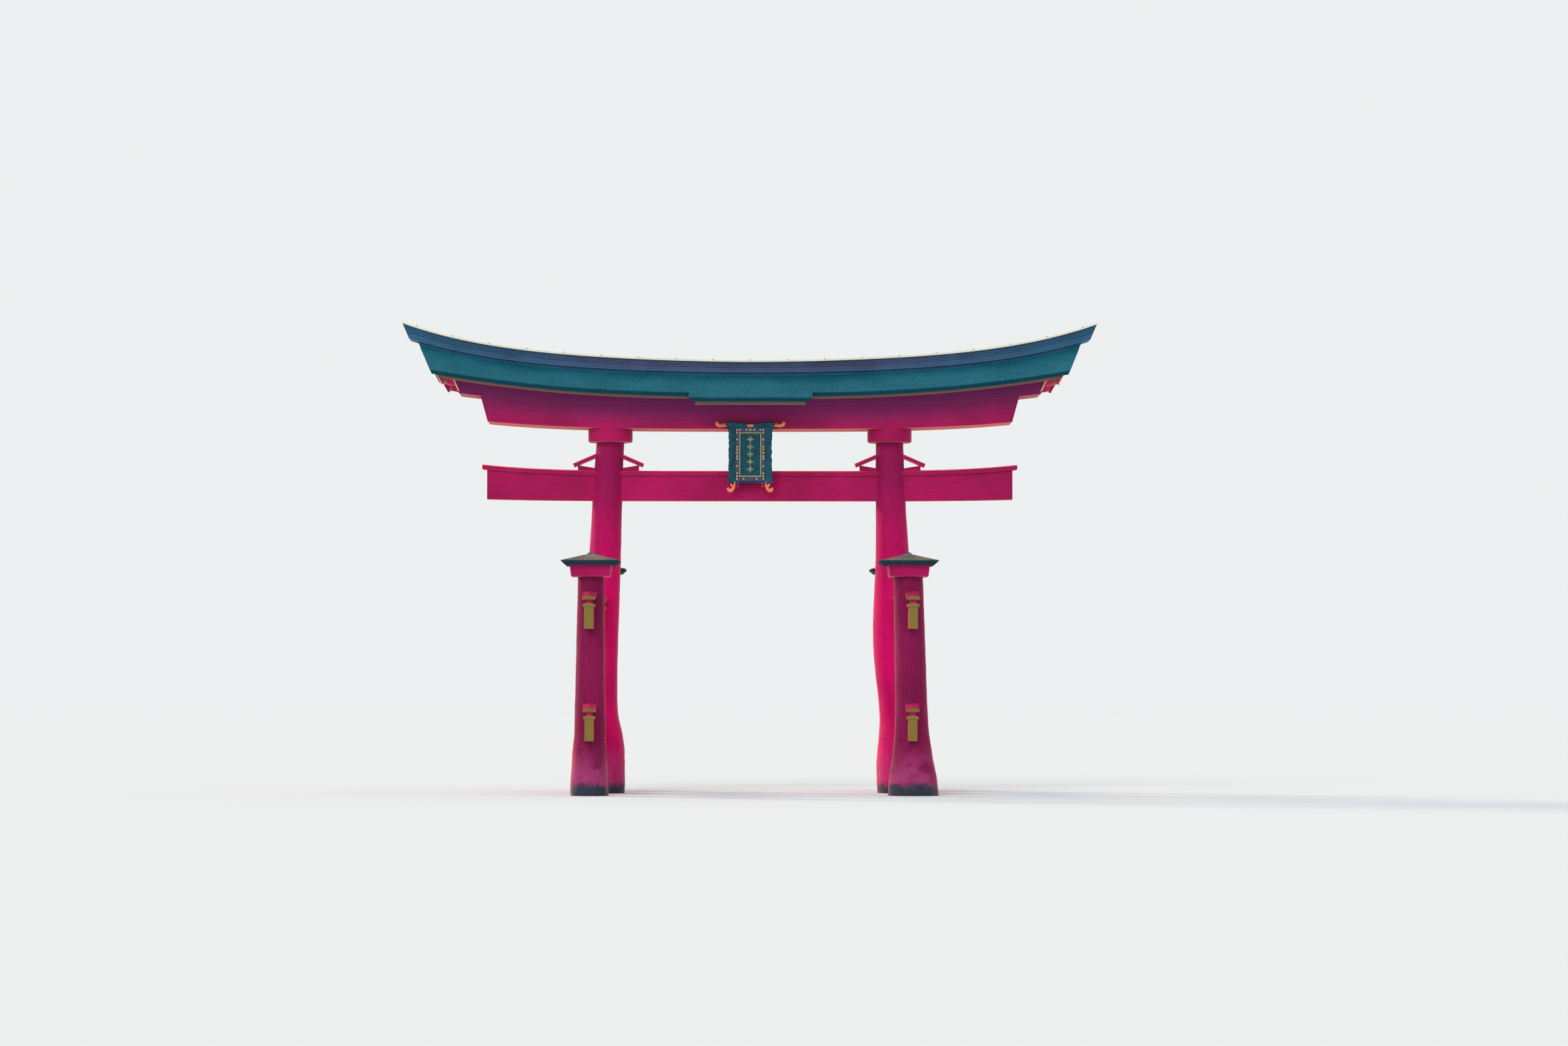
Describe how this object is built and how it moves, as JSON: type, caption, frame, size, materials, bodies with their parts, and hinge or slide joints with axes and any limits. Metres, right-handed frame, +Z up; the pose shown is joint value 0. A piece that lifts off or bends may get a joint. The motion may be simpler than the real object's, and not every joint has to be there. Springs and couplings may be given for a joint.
{
  "type": "torii gate",
  "caption": "Large red wooden torii on round trunk pillars, each braced by a post in front and behind, with a curved bark roof, upswept ridge and a plaque.",
  "frame": {"origin": "middle of the gate's footprint at the foot of the posts, where they meet the water", "axes": "+X along the ridge towards the right pillar seen from the front, -Y towards the front, where the plaque hangs, +Z up"},
  "size_m": [24.2572, 9.78, 16.3919],
  "materials": {
    "red_trunk": "painted red, lightly mottled",
    "red_beam": "painted red, satin",
    "red_cover": "painted red, satin",
    "bark": "layered bark, weathered",
    "ridge_boards": "painted boards, weathered",
    "ridge_sheet": "thin sheet, dull",
    "ochre_line": "painted ochre",
    "finial_metal": "dull metal",
    "plaque_wood": "lacquered, dark teal",
    "plaque_gilding": "gilded, dull in places"
  },
  "bodies": {
    "root": {"main_tie_beam": "red_beam", "tie_beam_caps": "red_cover", "tie_beam_wedges": "red_beam", "tie_beam_wedge_covers": "red_cover", "lower_lintel": "red_beam", "upper_lintel": "red_beam", "roof_frame": "red_beam", "bark_roof": "bark", "ridge_band": "ridge_boards", "ridge_box": "ridge_boards", "ridge_cap": "ridge_sheet", "gable_pendants": "red_cover", "post_head_blocks": "red_beam", "post_roofs": "bark", "post_finials": "finial_metal", "plaque_strut": "red_beam", "centre_eaves": "bark", "eave_fascias": "ochre_line", "bargeboards": "red_cover", "gable_purlins": "red_beam", "pillar_rings": "red_beam", "side_beam_caps": "red_cover", "side_beam_wedges": "red_beam", "side_beam_wedge_covers": "red_cover", "plaque_frame": "plaque_wood", "plaque_band": "plaque_wood", "plaque_line": "plaque_gilding", "plaque_panel": "plaque_wood", "plaque_scrolls": "plaque_gilding", "plaque_crown": "plaque_gilding", "plaque_supports": "red_beam", "main_pillar_left": "red_trunk", "sleeve_post_front_left": "red_trunk", "side_beam_upper_front_left": "red_beam", "side_beam_lower_front_left": "red_beam", "sleeve_post_back_left": "red_trunk", "side_beam_upper_back_left": "red_beam", "side_beam_lower_back_left": "red_beam", "main_pillar_right": "red_trunk", "sleeve_post_front_right": "red_trunk", "side_beam_upper_front_right": "red_beam", "side_beam_lower_front_right": "red_beam", "sleeve_post_back_right": "red_trunk", "side_beam_upper_back_right": "red_beam", "side_beam_lower_back_right": "red_beam"}
  },
  "joints": []
}
